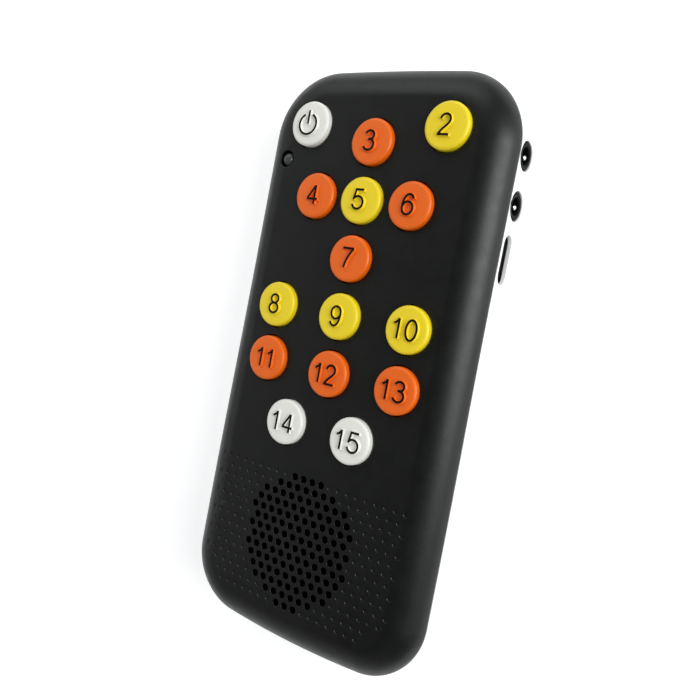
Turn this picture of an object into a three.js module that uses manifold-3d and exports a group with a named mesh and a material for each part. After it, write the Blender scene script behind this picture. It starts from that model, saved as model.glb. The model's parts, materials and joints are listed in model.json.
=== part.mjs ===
// Hand-held quiz buzzer: a slim two-part case with fifteen round push keys, a speaker
// behind a drilled grille, two round audio sockets and a recessed slide switch.
//
// Units are millimetres. X runs across the case, Y along it with the power key at +Y,
// and Z out of the face. The origin is under the middle of the case, on its back face.

import * as THREE from 'three';
import { mergeVertices } from 'three/addons/utils/BufferGeometryUtils.js';
import Module from 'manifold-3d';

const wasm = await Module();
wasm.setup();

// ---------------------------------------------------------------- driving dimensions

// Case outline
const CASE_WIDTH = 61.6;
const CASE_LENGTH = 129.8;
const TOP_BOW = 0.7; // how far the top end bulges past its corners
const BOTTOM_BOW = 2.1;
const TOP_CORNER = 15;
const BOTTOM_CORNER = 12.9;
const CORNER_STEPS = 5;
const FLARE = 0.48; // how much further out each side stands over the lower half
const FLARE_Y = [22, -40]; // where the flare begins, and where it is full
const SIDE_STOPS = [22, 8, -6, -20, -36];

// Case heights
const FACE_Z = 17.95;
const PARTING_Z = 12; // where the black cover meets the white one
const PARTING_GAP = 0.3;
const SIDE_WALL = 1.8;
const BACK_WALL = 1.6;
const FACE_WALL = 2.35;
const EDGE_INSET = 7.3; // how far in from the side the face's soft edge begins
const EDGE_POWER = 1.7; // superellipse exponent of that edge
const BACK_FILLET = 4;
const LIP = { foot: 11.3, top: 12.9, outer: 2.35, inner: 2.9 }; // rear cover's lip, inside the front cover

// Keys
const MIDDLE_KEY_Y = 22.25; // key 7, which every row is set out from
const ROW = 12.67;
const KEY_FIELD_X = -0.3; // the keys stand a touch left of the middle
const CAP_RADIUS = 5.05;
const CAP_RISE = 1.3;
const CAP_EDGE = { across: 0.75, down: 0.6 }; // a cap's soft rim
const CAP_GAP = 0.3;
const FLANGE_RADIUS = 5.95;
const FLANGE = [14.6, 15.3];
const STEM_RADIUS = 2.2;
const STEM_BOTTOM = 13.65;
const CAP_SIDES = 20;
const KEYS = [
  { name: 'power_button', x: -17.3, y: 28.8, colour: 'white' },
  { name: 'button_2', x: 17.3, y: 29.15, colour: 'yellow' },
  { name: 'button_3', x: 0, y: 2 * ROW, colour: 'orange' },
  { name: 'button_4', x: -12.3, y: ROW + 0.15, colour: 'orange' },
  { name: 'button_5', x: 0, y: ROW, colour: 'yellow' },
  { name: 'button_6', x: 12.3, y: ROW - 0.15, colour: 'orange' },
  { name: 'button_7', x: 0, y: 0, colour: 'orange' },
  { name: 'button_8', x: -17.3, y: 0.15 - ROW, colour: 'yellow' },
  { name: 'button_9', x: 0, y: -ROW, colour: 'yellow' },
  { name: 'button_10', x: 17.3, y: -ROW, colour: 'yellow' },
  { name: 'button_11', x: -17.3, y: 0.4 - 2 * ROW, colour: 'orange' },
  { name: 'button_12', x: 0, y: -2 * ROW, colour: 'orange' },
  { name: 'button_13', x: 17.3, y: -2 * ROW, colour: 'orange' },
  { name: 'button_14', x: -8.85, y: -3 * ROW, colour: 'white' },
  { name: 'button_15', x: 8.85, y: -3 * ROW, colour: 'white' },
].map((key) => ({ ...key, x: key.x + KEY_FIELD_X, y: key.y + MIDDLE_KEY_Y }));

// Indicator light
const LED = { x: -23.4, y: 43.1, hole: 1.9, radius: 1.72, flange: 2.22, bottom: 13.3, top: 18.05 };

// Speaker grille: rows of holes centred on one line, from the top row down
const GRILLE_X = -0.6;
const GRILLE_TOP_Y = -27.1;
const HOLE_PITCH = 2.385;
const HOLE_ROW = 2.18;
const HOLE_RADIUS = 0.8;
const HOLES_PER_ROW = [4, 7, 10, 11, 12, 11, 12, 11, 12, 11, 10, 9, 6, 3];

// Speaker, centred behind the grille
const SPEAKER_Y = -41.1;
const SPEAKER_RADIUS = 16;
const SPEAKER_SIDES = 20;

// Boards
const BOARD = [12.2, 13.2];
const MAT = [13.25, 13.8];
const BOARD_HALF_WIDTH = 26.4;
const BOARD_Y = [-23.6, 57];
const SIDE_BOARD = { x: [17, 28.2], y: [18.6, 52.4], z: [3.8, 5] };

// Audio sockets on the right side
const SOCKET_Y = { upper_socket: 48.6, lower_socket: 38.3 };
const SOCKET_Z = 8.6;
const SOCKET_HOLE = 3.1;
const SOCKET_NOSE = 2.9;
const SOCKET_BORE = 1.8;
const SOCKET_X = [17.5, 28.5, 30.55]; // rear, shoulder, nose face
const SOCKET_HALF = 2.8;

// Slide switch on the right side
const SLIDE_Y = 27.15;
const SLIDE_Z = 9.1;
const SLOT_LENGTH = 10.2;
const SLOT_WIDTH = 3.9;
const SLIDE_TRAVEL = 2;
const KNOB_X = [24.8, 28.6, 29.7, 29.95]; // peg tip, plate back, plate front, thumb lug
const KNOB_HALF = [(SLOT_LENGTH + SLIDE_TRAVEL) / 2 + 0.35, 2.2]; // plate, along Y and Z

// Battery bay: two slim cells side by side, put in from the back
const CELL_RADIUS = 5.25;
const CELL_LENGTH = 44.5;
const CELL_X = 5.6;
const CELL_BOTTOM = 1.55;
const BAY = { x: 11.4, y: [-27, 24.4], wall: 1.6, top: 9 };
const DOOR = { x: 12.2, y: [-33.6, 25.2], z: 1.3, gap: 0.3 };
const DOOR_SCREW_Y = -30.9;

// Screws
const POSTS = [[-8.7, 57.6], [8.7, 57.6], [-25.5, 14], [25.5, 14], [-24, -54], [24, -54]];
const BOARD_POSTS = [[-21.5, 27], [19.5, 19.6], [-22, -12.4], [22, -12.4]];
const POST_RADIUS = 2.4;
const SHANK = 0.95;
const PILOT = 1.15;
const CLEAR_HOLE = 1.25;
const SCREW_SIDES = 8;

// Worked out from the above
const HALF_WIDTH = CASE_WIDTH / 2;
const HALF_LENGTH = CASE_LENGTH / 2;
const INNER_FACE = FACE_Z - FACE_WALL;
const FRONT_BOTTOM = PARTING_Z + PARTING_GAP / 2;
const REAR_TOP = PARTING_Z - PARTING_GAP / 2;
const CELL_Z = CELL_BOTTOM + CELL_RADIUS;

// ---------------------------------------------------------------- shape helpers

// A manifold solid from a closed three.js geometry.
function solid(geometry) {
  const plain = geometry.index ? geometry.toNonIndexed() : geometry.clone();
  plain.deleteAttribute('normal');
  plain.deleteAttribute('uv');
  const merged = mergeVertices(plain, 1e-4);
  return new wasm.Manifold(new wasm.Mesh({
    numProp: 3,
    vertProperties: new Float32Array(merged.attributes.position.array),
    triVerts: new Uint32Array(merged.index.array),
  }));
}

// A three.js geometry from a manifold solid.
function geometryOf(manifold) {
  const { vertProperties, triVerts } = manifold.getMesh();
  const geometry = new THREE.BufferGeometry();
  geometry.setAttribute('position', new THREE.BufferAttribute(new Float32Array(vertProperties), 3));
  geometry.setIndex(new THREE.BufferAttribute(new Uint32Array(triVerts), 1));
  return geometry;
}

function union(parts) {
  return parts.reduce((whole, part) => whole.add(part));
}

function block([x0, x1], [y0, y1], [z0, z1]) {
  const geometry = new THREE.BoxGeometry(x1 - x0, y1 - y0, z1 - z0);
  return solid(geometry.translate((x0 + x1) / 2, (y0 + y1) / 2, (z0 + z1) / 2));
}

// A round bar that stands along Z.
function rod(radius, [z0, z1], [x, y] = [0, 0], sides = 12) {
  const geometry = new THREE.CylinderGeometry(radius, radius, z1 - z0, sides);
  return solid(geometry.rotateX(Math.PI / 2).translate(x, y, (z0 + z1) / 2));
}

// A round bar that lies along X.
function crossRod(radius, [x0, x1], [y, z], sides = 16) {
  const geometry = new THREE.CylinderGeometry(radius, radius, x1 - x0, sides);
  return solid(geometry.rotateZ(Math.PI / 2).translate((x0 + x1) / 2, y, z));
}

// A turned piece about Z: profile is [radius, z] pairs that close on the axis or on themselves.
function turned(profile, sides) {
  const points = profile.map(([radius, z]) => new THREE.Vector2(radius, z));
  return new THREE.LatheGeometry(points, sides).rotateX(Math.PI / 2);
}

// The case outline, moved inwards by `inset`.
function outline(inset) {
  const corners = [
    { side: 1, end: 1, from: 0 },
    { side: -1, end: 1, from: Math.PI / 2 },
    { side: -1, end: -1, from: Math.PI },
    { side: 1, end: -1, from: 1.5 * Math.PI },
  ];
  const points = [];
  for (const { side, end, from } of corners) {
    const corner = end > 0 ? TOP_CORNER : BOTTOM_CORNER;
    const bow = end > 0 ? TOP_BOW : BOTTOM_BOW;
    const radius = corner - inset;
    for (let i = 0; i <= CORNER_STEPS; i += 1) {
      const turn = from + (i / CORNER_STEPS) * (Math.PI / 2);
      const x = side * (HALF_WIDTH - corner) + radius * Math.cos(turn);
      const y = end * (HALF_LENGTH - bow - corner) + radius * Math.sin(turn);
      points.push([x, bowed(x, y, bow, end)]);
    }
    if (side === end) {
      const flatX = side * (HALF_WIDTH - corner);
      const flatY = end * (HALF_LENGTH - bow - inset);
      for (const share of [0.5, 0, -0.5]) {
        points.push([flatX * share, bowed(flatX * share, flatY, bow, end)]);
      }
    } else {
      const stops = end > 0 ? SIDE_STOPS : [...SIDE_STOPS].reverse();
      points.push(...stops.map((y) => [side * (HALF_WIDTH - inset), y]));
    }
  }
  return points.map(([x, y]) => [x * flareAt(y), y]);
}

// How much wider the case is at a given Y than at its top.
function flareAt(y) {
  return 1 + (FLARE / HALF_WIDTH) * THREE.MathUtils.smoothstep(-y, -FLARE_Y[0], -FLARE_Y[1]);
}

// A point's Y once its end of the case is bowed out along the centre line.
function bowed(x, y, bow, end) {
  return y + end * bow * (1 - (x / HALF_WIDTH) ** 2) * (Math.abs(y) / (HALF_LENGTH - bow));
}

// A closed solid through a stack of outlines, each given as { inset, z }, from low to high.
function stacked(levels) {
  const rings = levels.map(({ inset, z }) => outline(inset).map(([x, y]) => [x, y, z]));
  const count = rings[0].length;
  const positions = rings.flat(2);
  const index = [];
  for (let level = 0; level + 1 < rings.length; level += 1) {
    for (let i = 0; i < count; i += 1) {
      const next = (i + 1) % count;
      const a = level * count + i;
      const b = level * count + next;
      index.push(a, b, b + count, a, b + count, a + count);
    }
  }
  const flat = rings[0].map(([x, y]) => new THREE.Vector2(x, y));
  const top = (rings.length - 1) * count;
  for (const [a, b, c] of THREE.ShapeUtils.triangulateShape(flat, [])) {
    index.push(a, c, b);
    index.push(top + a, top + b, top + c);
  }
  const geometry = new THREE.BufferGeometry();
  geometry.setAttribute('position', new THREE.Float32BufferAttribute(positions, 3));
  geometry.setIndex(index);
  return solid(geometry);
}

// ---------------------------------------------------------------- the assembly

const COLOURS = {
  black: { color: 0x1e1f1e, roughness: 0.55 },
  shellWhite: { color: 0xf2f2ee, roughness: 0.4 },
  white: { color: 0xd9d8d2, roughness: 0.45 },
  yellow: { color: 0xe6cf2a, roughness: 0.45 },
  orange: { color: 0xee6f22, roughness: 0.45 },
  lens: { color: 0xb9bcbc, roughness: 0.15 },
  board: { color: 0x1f6b3a, roughness: 0.5 },
  silicone: { color: 0x9a9c9a, roughness: 0.8 },
  socket: { color: 0x141414, roughness: 0.4 },
  plated: { color: 0xc9c9c6, roughness: 0.25, metalness: 1 },
  steel: { color: 0x9b9d9f, roughness: 0.35, metalness: 1 },
  paper: { color: 0x3a3a3c, roughness: 0.9 },
  foam: { color: 0x2a2a2a, roughness: 1 },
  cell: { color: 0x2d4f86, roughness: 0.35 },
};

const group = new THREE.Group();

function add(name, shape, look) {
  const geometry = shape.isBufferGeometry ? shape : geometryOf(shape);
  const mesh = new THREE.Mesh(geometry, new THREE.MeshStandardMaterial(COLOURS[look]));
  mesh.name = name;
  group.add(mesh);
  return mesh;
}

// ---------------------------------------------------------------- covers

// Levels of a soft superelliptic edge, from its foot up to the flat it rolls into.
function softEdge(footZ, topZ, footInset, topInset, steps) {
  const levels = [];
  for (let i = 0; i <= steps; i += 1) {
    const turn = (1 - i / steps) * (Math.PI / 2);
    const across = Math.sin(turn) ** (2 / EDGE_POWER);
    const up = Math.cos(turn) ** (2 / EDGE_POWER);
    levels.push({ inset: topInset + (footInset - topInset) * across, z: footZ + (topZ - footZ) * up });
  }
  return levels;
}

function grilleHoles() {
  const holes = [];
  HOLES_PER_ROW.forEach((count, row) => {
    for (let i = 0; i < count; i += 1) {
      const x = GRILLE_X + (i - (count - 1) / 2) * HOLE_PITCH;
      holes.push([x, GRILLE_TOP_Y - row * HOLE_ROW]);
    }
  });
  return holes;
}

function frontCover() {
  const overshoot = 1;
  const outer = stacked(softEdge(FRONT_BOTTOM, FACE_Z, 0, EDGE_INSET, 5));
  const pocket = stacked([
    { inset: SIDE_WALL, z: FRONT_BOTTOM - overshoot },
    ...softEdge(FRONT_BOTTOM, INNER_FACE, SIDE_WALL, EDGE_INSET + 0.5, 3),
  ]);
  const through = [INNER_FACE - overshoot, FACE_Z + overshoot];
  const keyHoles = KEYS.map(({ x, y }) => rod(CAP_RADIUS + CAP_GAP, through, [x, y], CAP_SIDES));
  const soundHoles = grilleHoles().map((place) => rod(HOLE_RADIUS, through, place, 6));
  const ledHole = rod(LED.hole, through, [LED.x, LED.y], 10);
  const posts = POSTS.map((place) => rod(POST_RADIUS, [5.5, INNER_FACE + 0.4], place, 10));
  const pilots = POSTS.map((place) => rod(PILOT, [5, 13.5], place, SCREW_SIDES));
  const boardPosts = BOARD_POSTS.map((place) => rod(2, [BOARD[1] + 0.1, INNER_FACE + 0.4], place, 8));
  const boardPilots = BOARD_POSTS.map((place) => rod(PILOT, [BOARD[1], 16.2], place, SCREW_SIDES));
  return union([outer.subtract(pocket), ...posts, ...boardPosts])
    .subtract(union([...keyHoles, ...soundHoles, ledHole, ...pilots, ...boardPilots]));
}

// The pill-shaped slot for the slide switch, cut through the right wall, with a thinned
// bed behind it that the knob's plate slides in.
function slideSlot() {
  const across = [HALF_WIDTH - SIDE_WALL - 1, HALF_WIDTH + 1];
  const reach = (SLOT_LENGTH - SLOT_WIDTH) / 2;
  const ends = [-reach, reach].map((end) => crossRod(SLOT_WIDTH / 2, across, [SLIDE_Y + end, SLIDE_Z]));
  const middle = block(across, [SLIDE_Y - reach, SLIDE_Y + reach],
    [SLIDE_Z - SLOT_WIDTH / 2, SLIDE_Z + SLOT_WIDTH / 2]);
  const bedY = KNOB_HALF[0] + SLIDE_TRAVEL / 2 + 0.3;
  const bedZ = KNOB_HALF[1] + 0.25;
  const bed = block([HALF_WIDTH - SIDE_WALL - 1, KNOB_X[2] + 0.2], [SLIDE_Y - bedY, SLIDE_Y + bedY],
    [SLIDE_Z - bedZ, SLIDE_Z + bedZ]);
  return union([middle, ...ends, bed]);
}

// A thin rim that stands inside the front cover's edge, cut away beside posts and sockets.
function partingLip() {
  const { foot, top, outer, inner } = LIP;
  const rim = stacked([{ inset: outer, z: foot }, { inset: outer, z: top }]);
  const root = stacked([{ inset: SIDE_WALL - 0.2, z: foot }, { inset: SIDE_WALL - 0.2, z: REAR_TOP }]);
  const middle = stacked([{ inset: inner, z: foot - 1 }, { inset: inner, z: top + 1 }]);
  const besidePosts = POSTS.map((place) => rod(POST_RADIUS + 0.5, [foot - 1, top + 1], place, 8));
  const besideSockets = block([HALF_WIDTH - 4, HALF_WIDTH - SIDE_WALL], SIDE_BOARD.y, [foot - 1, top + 1]);
  return rim.add(root).subtract(union([middle, ...besidePosts, besideSockets]));
}

function rearCover() {
  const outerLevels = [0, 1, 2, 3].map((step) => {
    const turn = (step / 3) * (Math.PI / 2);
    return { inset: BACK_FILLET * (1 - Math.sin(turn)), z: BACK_FILLET * (1 - Math.cos(turn)) };
  });
  const outer = stacked([...outerLevels, { inset: 0, z: REAR_TOP }]);
  const pocket = stacked([
    { inset: SIDE_WALL + 2.6, z: BACK_WALL },
    { inset: SIDE_WALL, z: BACK_WALL + 2.6 },
    { inset: SIDE_WALL, z: REAR_TOP + 1 },
  ]);

  const counterbore = 3;
  const pillars = POSTS.map((place) => rod(3.6, [0.5, 5.2], place, 12));
  const screwHoles = POSTS.map((place) => rod(CLEAR_HOLE, [-1, 6], place, SCREW_SIDES));
  const headHoles = POSTS.map((place) => rod(2.5, [-1, counterbore], place, 12));

  const [bayLow, bayHigh] = BAY.y;
  const bayWidth = [-BAY.x - 2, BAY.x + 2];
  const bayHeight = [DOOR.z + 0.2, BAY.top];
  const bay = [
    block([-BAY.x - 2, -BAY.x], [bayLow - BAY.wall, bayHigh + BAY.wall], bayHeight),
    block([BAY.x, BAY.x + 2], [bayLow - BAY.wall, bayHigh + BAY.wall], bayHeight),
    block(bayWidth, [bayLow - BAY.wall, bayLow], bayHeight),
    block(bayWidth, [bayHigh, bayHigh + BAY.wall], bayHeight),
    rod(2.6, [DOOR.z + 0.2, 6], [0, DOOR_SCREW_Y], 10),
  ];
  const doorway = block([-DOOR.x - DOOR.gap, DOOR.x + DOOR.gap],
    [DOOR.y[0] - DOOR.gap, DOOR.y[1] + DOOR.gap], [-1, BACK_WALL + 0.1]);
  const tongueSlots = [-6, 6].map((x) => block([x - 2.3, x + 2.3], [bayHigh - 0.5, bayHigh + 2], [1, 3.2]));
  const doorPilot = rod(PILOT, [0, 5.8], [0, DOOR_SCREW_Y], SCREW_SIDES);

  const rests = [[20, 22.5], [20, 43.6]].map((place) => rod(1.5, [1.5, SIDE_BOARD.z[0] - 0.1], place, 8));
  const socketHoles = Object.values(SOCKET_Y).map((y) => (
    crossRod(SOCKET_HOLE, [HALF_WIDTH - SIDE_WALL - 1, HALF_WIDTH + 1], [y, SOCKET_Z])));

  const shell = outer.subtract(pocket).subtract(doorway);
  return union([shell, partingLip(), ...pillars, ...bay, ...rests])
    .subtract(union([...screwHoles, ...headHoles, ...socketHoles, slideSlot(), doorPilot]))
    .subtract(union(tongueSlots));
}

function batteryDoor() {
  const [low, high] = DOOR.y;
  const plate = block([-DOOR.x, DOOR.x], [low, high], [0, DOOR.z]);
  const tongues = [-6, 6].flatMap((x) => [
    block([x - 2, x + 2], [high - 1.9, high - 0.1], [DOOR.z - 0.2, 2.9]),
    block([x - 2, x + 2], [high - 0.4, high + 2.2], [1.9, 2.9]),
  ]);
  const screwHole = rod(CLEAR_HOLE, [-1, 3], [0, DOOR_SCREW_Y], SCREW_SIDES);
  const headHole = rod(2.2, [-1, 0.9], [0, DOOR_SCREW_Y], 12);
  return union([plate, ...tongues]).subtract(screwHole.add(headHole));
}

add('front_cover', frontCover(), 'black');
add('rear_cover', rearCover(), 'shellWhite');
add('battery_door', batteryDoor(), 'shellWhite');

// ---------------------------------------------------------------- keys

function keyCap() {
  const top = FACE_Z + CAP_RISE;
  const rim = [0, 30, 60, 90].map((degrees) => {
    const turn = THREE.MathUtils.degToRad(degrees);
    return [
      CAP_RADIUS - CAP_EDGE.across * (1 - Math.cos(turn)),
      top - CAP_EDGE.down * (1 - Math.sin(turn)),
    ];
  });
  return turned([
    [0, STEM_BOTTOM],
    [STEM_RADIUS, STEM_BOTTOM],
    [STEM_RADIUS, FLANGE[0]],
    [FLANGE_RADIUS, FLANGE[0]],
    [FLANGE_RADIUS, FLANGE[1]],
    [CAP_RADIUS, FLANGE[1]],
    ...rim,
    [0, top],
  ], CAP_SIDES);
}

for (const { name, x, y, colour } of KEYS) {
  add(name, keyCap(), colour).position.set(x, y, 0);
}

function indicator() {
  const { radius, flange, bottom, top } = LED;
  return turned([
    [0, bottom],
    [flange, bottom],
    [flange, bottom + 0.8],
    [radius, bottom + 0.8],
    [radius, top - 1.1],
    [radius * 0.72, top - 0.35],
    [0, top],
  ], 10);
}

add('indicator_led', indicator(), 'lens').position.set(LED.x, LED.y, 0);

// ---------------------------------------------------------------- boards and key mat

function rounded([x0, x1], [y0, y1], [z0, z1], radius) {
  const shape = new THREE.Shape();
  shape.moveTo(x0 + radius, y0);
  shape.absarc(x1 - radius, y0 + radius, radius, -Math.PI / 2, 0);
  shape.absarc(x1 - radius, y1 - radius, radius, 0, Math.PI / 2);
  shape.absarc(x0 + radius, y1 - radius, radius, Math.PI / 2, Math.PI);
  shape.absarc(x0 + radius, y0 + radius, radius, Math.PI, 1.5 * Math.PI);
  const options = { depth: z1 - z0, bevelEnabled: false, curveSegments: 3 };
  const geometry = new THREE.ExtrudeGeometry(shape, options);
  return solid(geometry.translate(0, 0, z0));
}

const boardNotches = POSTS.map((place) => rod(POST_RADIUS + 0.4, [BOARD[0] - 1, MAT[1] + 1], place, 10));

function mainBoard() {
  const through = [BOARD[0] - 1, BOARD[1] + 1];
  const screwHoles = BOARD_POSTS.map((place) => rod(CLEAR_HOLE, through, place, SCREW_SIDES));
  return rounded([-BOARD_HALF_WIDTH, BOARD_HALF_WIDTH], BOARD_Y, BOARD, 7)
    .subtract(union([...boardNotches, ...screwHoles]));
}

function keyMat() {
  const cuts = KEYS.map(({ x, y }) => rod(STEM_RADIUS + 0.8, [MAT[0] - 1, MAT[1] + 1], [x, y], 8));
  const postCuts = BOARD_POSTS.map((place) => rod(2.5, [MAT[0] - 1, MAT[1] + 1], place, 8));
  const ledCut = rod(LED.flange + 0.4, [MAT[0] - 1, MAT[1] + 1], [LED.x, LED.y], 8);
  const half = BOARD_HALF_WIDTH - 0.9;
  return rounded([-half, half], [BOARD_Y[0] + 1, BOARD_Y[1] - 0.8], MAT, 6.5)
    .subtract(union([...cuts, ...postCuts, ...boardNotches, ledCut]));
}

add('main_board', mainBoard(), 'board');
add('key_mat', keyMat(), 'silicone');
add('side_board', block(SIDE_BOARD.x, SIDE_BOARD.y, SIDE_BOARD.z), 'board');
add('board_link', block([18, 24], [42.2, 45.2], [SIDE_BOARD.z[1] + 0.1, BOARD[0] - 0.1]), 'socket');
add('sound_chip', block([-19, -9], [40, 50], [10.6, BOARD[0] - 0.1]), 'socket');

// ---------------------------------------------------------------- sockets and slide switch

function socket() {
  const [rear, shoulder, nose] = SOCKET_X;
  const body = block([rear, shoulder], [-SOCKET_HALF, SOCKET_HALF], [-SOCKET_HALF, SOCKET_HALF]);
  const collar = crossRod(SOCKET_NOSE, [shoulder - 0.2, nose], [0, 0]);
  const bore = crossRod(SOCKET_BORE, [rear + 1, nose + 1], [0, 0], 12);
  return body.add(collar).subtract(bore);
}

// The leaf that touches the plug's sleeve, with its bump just inside the mouth.
function socketContact() {
  const nose = SOCKET_X[2];
  const leaf = block([nose - 8, nose - 0.8], [-0.55, 0.55], [-1.55, -1.3]);
  const bump = crossRod(0.42, [-0.6, 0.6], [0, 0], 8);
  const turnedBump = bump.rotate([0, 0, 90]).translate([nose - 1.1, 0, -1.12]);
  return leaf.add(turnedBump);
}

for (const [name, y] of Object.entries(SOCKET_Y)) {
  add(name, socket(), 'socket').position.set(0, y, SOCKET_Z);
  add(`${name}_contact`, socketContact(), 'plated').position.set(0, y, SOCKET_Z);
}

function slideSwitch() {
  const body = block([21.6, 27], [-4.6, 4.6], [-3.6, 2.6]);
  const reach = SLIDE_TRAVEL / 2 + 1.3;
  return body.subtract(block([KNOB_X[0] - 0.4, 28], [-reach, reach], [-1, 1]));
}

function slideKnob() {
  const [peg, back, front, lug] = KNOB_X;
  const [alongY, alongZ] = KNOB_HALF;
  return union([
    block([back, front], [-alongY, alongY], [-alongZ, alongZ]),
    block([peg, back + 0.1], [-1, 1], [-0.7, 0.7]),
    block([front - 0.1, lug], [-1.6, 1.6], [0.1, 1.8]),
  ]);
}

add('slide_switch', slideSwitch(), 'steel').position.set(0, SLIDE_Y, SLIDE_Z);
add('slide_knob', slideKnob(), 'socket').position.set(0, SLIDE_Y - SLIDE_TRAVEL / 2, SLIDE_Z);

// ---------------------------------------------------------------- speaker

function speakerFrame() {
  const basket = solid(turned([
    [4, 10.6],
    [9.2, 10.6],
    [13.8, 14.5],
    [SPEAKER_RADIUS, 14.5],
    [SPEAKER_RADIUS, 15],
    [13.2, 15],
    [8.8, 11.2],
    [4, 11.2],
    [4, 10.6],
  ], SPEAKER_SIDES));
  return basket.add(block([-4, 4], [10.6, 14.2], [12.6, 13.4]));
}

const speakerPieces = {
  speaker_gasket: ['foam', turned([
    [14.4, 15.1], [SPEAKER_RADIUS, 15.1], [SPEAKER_RADIUS, 15.5], [14.4, 15.5], [14.4, 15.1],
  ], SPEAKER_SIDES)],
  speaker_frame: ['steel', speakerFrame()],
  speaker_cone: ['paper', turned([
    [0, 13], [2.6, 12.7], [4.4, 12], [9.6, 13.6], [11.2, 14.3], [12.2, 14.4], [12.8, 14.7],
    [12.8, 14.9], [12, 14.9], [11, 14.7], [9.4, 13.9], [4.4, 12.5], [2.6, 13.2], [0, 13.5],
  ], SPEAKER_SIDES)],
  speaker_magnet: ['steel', turned([[0, 6.4], [8, 6.4], [8.5, 6.9], [8.5, 10.5], [0, 10.5]], SPEAKER_SIDES)],
};
for (const [name, [look, shape]] of Object.entries(speakerPieces)) {
  add(name, shape, look).position.set(0, SPEAKER_Y, 0);
}

// Short leads from the speaker's tag to the lower edge of the main board.
function lead(x) {
  const route = new THREE.CatmullRomCurve3([
    new THREE.Vector3(x, SPEAKER_Y + 13.3, 13.9),
    new THREE.Vector3(x, SPEAKER_Y + 15, 13.95),
    new THREE.Vector3(x, SPEAKER_Y + 16.6, 13.9),
    new THREE.Vector3(x, SPEAKER_Y + 18.1, 13.75),
  ]);
  const section = new THREE.Shape();
  section.absarc(0, 0, 0.4, 0, 2 * Math.PI);
  return new THREE.ExtrudeGeometry(section, { steps: 4, extrudePath: route, curveSegments: 3 });
}

add('speaker_lead_red', lead(-2.4), 'orange');
add('speaker_lead_black', lead(2.4), 'black');

// ---------------------------------------------------------------- cells and their contacts

function cell() {
  const barrel = CELL_LENGTH - 1.2;
  return turned([
    [0, 0], [CELL_RADIUS - 0.4, 0], [CELL_RADIUS, 0.4], [CELL_RADIUS, barrel - 0.4],
    [CELL_RADIUS - 0.4, barrel], [1.9, barrel], [1.9, CELL_LENGTH], [0, CELL_LENGTH],
  ], 16);
}

// The left cell stands nub up (towards +Y) and the right one nub down.
const LEFT_CELL_Y = -21.3;
const leftCell = add('cell_left', cell(), 'cell');
leftCell.rotation.x = -Math.PI / 2;
leftCell.position.set(-CELL_X, LEFT_CELL_Y, CELL_Z);
const rightCell = add('cell_right', cell(), 'cell');
rightCell.rotation.x = Math.PI / 2;
rightCell.position.set(CELL_X, LEFT_CELL_Y + CELL_LENGTH - 4.5, CELL_Z);

// A cone spring along +Y from the origin.
function coneSpring(length) {
  const turns = 2.5;
  const stepsPerTurn = 10;
  const points = [];
  for (let i = 0; i <= turns * stepsPerTurn; i += 1) {
    const share = i / (turns * stepsPerTurn);
    const turn = i * (2 * Math.PI / stepsPerTurn);
    const radius = 3.6 - 1.6 * share;
    points.push(new THREE.Vector3(radius * Math.cos(turn), length * share, radius * Math.sin(turn)));
  }
  const section = new THREE.Shape();
  section.absarc(0, 0, 0.32, 0, 2 * Math.PI);
  return solid(new THREE.ExtrudeGeometry(section, {
    steps: turns * stepsPerTurn, extrudePath: new THREE.CatmullRomCurve3(points), curveSegments: 3,
  }));
}

const PLATE_Z = [3.4, 10.8];
const PLATE_TAG_TOP = BOARD[0] - 0.1;

function endPlate([x0, x1], [y0, y1]) {
  const middle = (x0 + x1) / 2;
  return block([x0, x1], [y0, y1], PLATE_Z)
    .add(block([middle - 1, middle + 1], [y0, y1], [PLATE_Z[1] - 0.5, PLATE_TAG_TOP]));
}

const LOWER_PLATE = [BAY.y[0] + 0.2, BAY.y[0] + 0.6];
const UPPER_PLATE = [BAY.y[1] - 0.6, BAY.y[1] - 0.2];
const bridge = endPlate([-CELL_X - 3.8, CELL_X + 3.8], LOWER_PLATE)
  .add(coneSpring(4.3).translate([-CELL_X, LOWER_PLATE[1], CELL_Z]));
const minus = endPlate([CELL_X - 3.8, CELL_X + 3.8], UPPER_PLATE)
  .add(coneSpring(4.3).rotate([180, 0, 0]).translate([CELL_X, UPPER_PLATE[0], CELL_Z]));
const plus = endPlate([-CELL_X - 3.8, -CELL_X + 3.8], UPPER_PLATE);

add('battery_bridge', bridge, 'plated');
add('battery_contact_minus', minus, 'plated');
add('battery_contact_plus', plus, 'plated');

// ---------------------------------------------------------------- screws

// Head down (towards the back), shank up.
function screw(headZ, headHeight, headRadius, tip) {
  return turned([
    [0, headZ], [headRadius, headZ], [headRadius, headZ + headHeight],
    [SHANK, headZ + headHeight], [SHANK, tip], [0, tip + 0.4],
  ], SCREW_SIDES);
}

POSTS.forEach(([x, y], i) => {
  add(`case_screw_${i + 1}`, screw(1.5, 1.3, 2.1, 11), 'steel').position.set(x, y, 0);
});
BOARD_POSTS.forEach(([x, y], i) => {
  add(`board_screw_${i + 1}`, screw(11.1, 1, 1.9, 15.6), 'steel').position.set(x, y, 0);
});
add('door_screw', screw(0.1, 0.7, 1.9, 5), 'steel').position.set(0, DOOR_SCREW_Y, 0);

export default group;
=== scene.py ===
"""Looks of the quiz buzzer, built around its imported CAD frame.

Lengths in this script are in millimetres until a mesh is made, and metres after that.
X runs across the case, Y along it with the power key at +Y, and Z out of the key face.
"""

import json
from math import ceil, cos, hypot, pi, radians, sin

import bpy
import numpy as np
from mathutils import Matrix, Vector
from mathutils.geometry import delaunay_2d_cdt


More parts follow.
